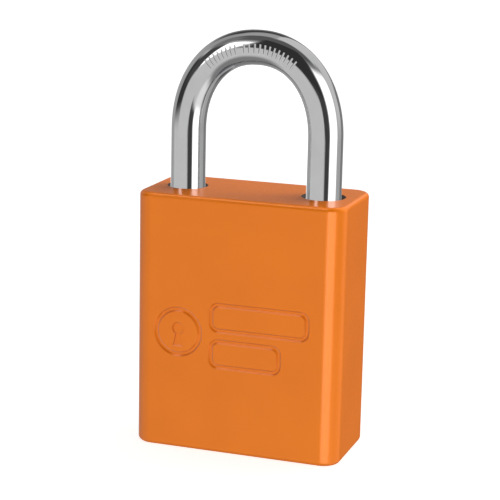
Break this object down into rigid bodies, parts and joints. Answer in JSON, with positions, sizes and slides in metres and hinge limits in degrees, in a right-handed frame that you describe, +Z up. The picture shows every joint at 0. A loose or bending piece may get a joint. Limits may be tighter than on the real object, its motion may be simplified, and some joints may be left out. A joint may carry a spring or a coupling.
{
  "type": "safety padlock",
  "caption": "Safety lockout padlock: solid rectangular anodised aluminium body, steel shackle held by locking balls, and a pin-tumbler cylinder keyed from below.",
  "frame": {"origin": "centre of the case's bottom face", "axes": "+Z up along the shackle's travel, -Y out of the front face, +X towards the shackle's toe (the leg that comes out); the heel that stays in the case is at -X"},
  "size_m": [0.0382, 0.019, 0.0746],
  "materials": {
    "anodised_case": "satin orange anodised aluminium, finely blasted",
    "shackle_chrome": "polished chrome plate on hardened steel",
    "hardened_steel": "machined hardened steel, light oil",
    "spring_steel": "drawn spring wire and stamped spring steel",
    "pin_brass": "turned brass",
    "cylinder_nickel": "nickel-plated brass, fine turning marks"
  },
  "bodies": {
    "lock_body": {"case": "anodised_case", "cylinder_shell": "cylinder_nickel", "spring_cover_strip": "pin_brass", "cylinder_retaining_screw": "hardened_steel", "shackle_spring": "spring_steel", "driver_spring_1": "spring_steel", "driver_spring_2": "spring_steel", "driver_spring_3": "spring_steel", "driver_spring_4": "spring_steel", "driver_spring_5": "spring_steel"},
    "shackle": {"shackle": "shackle_chrome"},
    "rotor": {"plug": "cylinder_nickel", "plug_retaining_clip": "spring_steel", "actuator": "hardened_steel"},
    "heel_ball": {"heel_locking_ball": "hardened_steel"},
    "toe_ball": {"toe_locking_ball": "hardened_steel"},
    "key_pin_1": {"key_pin_1": "pin_brass"},
    "key_pin_2": {"key_pin_2": "pin_brass"},
    "key_pin_3": {"key_pin_3": "pin_brass"},
    "key_pin_4": {"key_pin_4": "pin_brass"},
    "key_pin_5": {"key_pin_5": "pin_brass"},
    "driver_pin_1": {"driver_pin_1": "pin_brass"},
    "driver_pin_2": {"driver_pin_2": "pin_brass"},
    "driver_pin_3": {"driver_pin_3": "pin_brass"},
    "driver_pin_4": {"driver_pin_4": "pin_brass"},
    "driver_pin_5": {"driver_pin_5": "pin_brass"}
  },
  "joints": [
    {"name": "shackle_lift", "type": "slide", "parent": "lock_body", "child": "shackle", "axis": [0, 0, 1], "range_m": [0, 0.013], "deforming": ["shackle_spring"]},
    {"name": "key_turn", "type": "hinge", "parent": "lock_body", "child": "rotor", "pos_m": [0, 0, 0], "axis": [0, 0, 1], "range_deg": [-90, 0]},
    {"name": "toe_ball_throw", "type": "slide", "parent": "lock_body", "child": "toe_ball", "axis": [1, 0, 0], "range_m": [0, 0.00163]},
    {"name": "heel_ball_throw", "type": "slide", "parent": "lock_body", "child": "heel_ball", "axis": [-1, 0, 0], "range_m": [0, 0.000801]},
    {"name": "key_pin_1_slide", "type": "slide", "parent": "rotor", "child": "key_pin_1", "axis": [0, -1, 0], "range_m": [0, 0.002]},
    {"name": "key_pin_2_slide", "type": "slide", "parent": "rotor", "child": "key_pin_2", "axis": [0, -1, 0], "range_m": [0, 0.0026]},
    {"name": "key_pin_3_slide", "type": "slide", "parent": "rotor", "child": "key_pin_3", "axis": [0, -1, 0], "range_m": [0, 0.0013]},
    {"name": "key_pin_4_slide", "type": "slide", "parent": "rotor", "child": "key_pin_4", "axis": [0, -1, 0], "range_m": [0, 0.0023]},
    {"name": "key_pin_5_slide", "type": "slide", "parent": "rotor", "child": "key_pin_5", "axis": [0, -1, 0], "range_m": [0, 0.0017]},
    {"name": "driver_pin_1_slide", "type": "slide", "parent": "lock_body", "child": "driver_pin_1", "axis": [1, 0, 0], "range_m": [0, 0.0015], "deforming": ["driver_spring_1"]},
    {"name": "driver_pin_2_slide", "type": "slide", "parent": "lock_body", "child": "driver_pin_2", "axis": [1, 0, 0], "range_m": [0, 0.0015], "deforming": ["driver_spring_2"]},
    {"name": "driver_pin_3_slide", "type": "slide", "parent": "lock_body", "child": "driver_pin_3", "axis": [1, 0, 0], "range_m": [0, 0.0015], "deforming": ["driver_spring_3"]},
    {"name": "driver_pin_4_slide", "type": "slide", "parent": "lock_body", "child": "driver_pin_4", "axis": [1, 0, 0], "range_m": [0, 0.0015], "deforming": ["driver_spring_4"]},
    {"name": "driver_pin_5_slide", "type": "slide", "parent": "lock_body", "child": "driver_pin_5", "axis": [1, 0, 0], "range_m": [0, 0.0015], "deforming": ["driver_spring_5"]}
  ],
  "couplings": [
    {"joint": "toe_ball_throw", "follows": "key_turn", "m_per_rad": -0.0010345},
    {"joint": "heel_ball_throw", "follows": "key_turn", "m_per_rad": -0.0005093},
    {"joint": "key_pin_2_slide", "follows": "key_pin_1_slide", "ratio": 1.3},
    {"joint": "key_pin_3_slide", "follows": "key_pin_1_slide", "ratio": 0.65},
    {"joint": "key_pin_4_slide", "follows": "key_pin_1_slide", "ratio": 1.15},
    {"joint": "key_pin_5_slide", "follows": "key_pin_1_slide", "ratio": 0.85},
    {"joint": "driver_pin_2_slide", "follows": "driver_pin_1_slide", "ratio": 1},
    {"joint": "driver_pin_3_slide", "follows": "driver_pin_1_slide", "ratio": 1},
    {"joint": "driver_pin_4_slide", "follows": "driver_pin_1_slide", "ratio": 1},
    {"joint": "driver_pin_5_slide", "follows": "driver_pin_1_slide", "ratio": 1}
  ]
}
